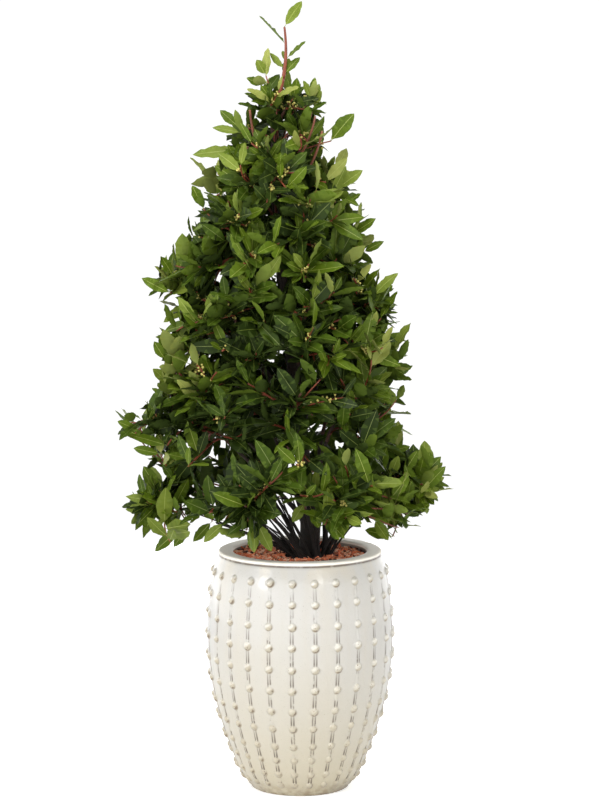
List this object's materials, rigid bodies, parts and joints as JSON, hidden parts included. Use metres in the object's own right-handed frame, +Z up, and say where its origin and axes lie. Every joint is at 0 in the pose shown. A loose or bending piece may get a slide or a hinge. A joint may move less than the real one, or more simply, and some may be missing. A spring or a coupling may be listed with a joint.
{
  "type": "potted bay pyramid topiary",
  "caption": "Evergreen bay clipped to a loose pyramid, with a trunk, boughs and stems from the soil, in a tall barrel-shaped glazed pot with columns of raised studs.",
  "frame": {"origin": "centre of the pot's flat underside, on the floor", "axes": "+Z up along the pot's axis and the trunk, -Y towards the front, +X to the right seen from the front"},
  "size_m": [0.8017, 0.7607, 1.9527],
  "materials": {
    "glaze": "gloss",
    "soil": "matte",
    "chips": "matte",
    "bark": "matte",
    "leaves": "satin"
  },
  "bodies": {
    "root": {"bark_chips": "chips", "bough_low_1": "bark", "bough_low_2": "bark", "bough_low_3": "bark", "bough_low_4": "bark", "bough_low_5": "bark", "bough_low_6": "bark", "bough_middle_1": "bark", "bough_middle_2": "bark", "bough_middle_3": "bark", "bough_middle_4": "bark", "bough_middle_5": "bark", "bough_skirt_1": "bark", "bough_skirt_2": "bark", "bough_skirt_3": "bark", "bough_skirt_4": "bark", "bough_skirt_5": "bark", "bough_skirt_6": "bark", "bough_upper_1": "bark", "bough_upper_2": "bark", "bough_upper_3": "bark", "bough_upper_4": "bark", "foliage_leader": "leaves", "foliage_low_1": "leaves", "foliage_low_2": "leaves", "foliage_low_3": "leaves", "foliage_low_4": "leaves", "foliage_low_5": "leaves", "foliage_low_6": "leaves", "foliage_middle_1": "leaves", "foliage_middle_2": "leaves", "foliage_middle_3": "leaves", "foliage_middle_4": "leaves", "foliage_middle_5": "leaves", "foliage_skirt_1": "leaves", "foliage_skirt_2": "leaves", "foliage_skirt_3": "leaves", "foliage_skirt_4": "leaves", "foliage_skirt_5": "leaves", "foliage_skirt_6": "leaves", "foliage_spire_1": "leaves", "foliage_spire_2": "leaves", "foliage_spire_3": "leaves", "foliage_top_1": "leaves", "foliage_top_2": "leaves", "foliage_top_3": "leaves", "foliage_upper_1": "leaves", "foliage_upper_2": "leaves", "foliage_upper_3": "leaves", "foliage_upper_4": "leaves", "pot": "glaze", "soil": "soil", "trunk": "bark"}
  },
  "joints": []
}
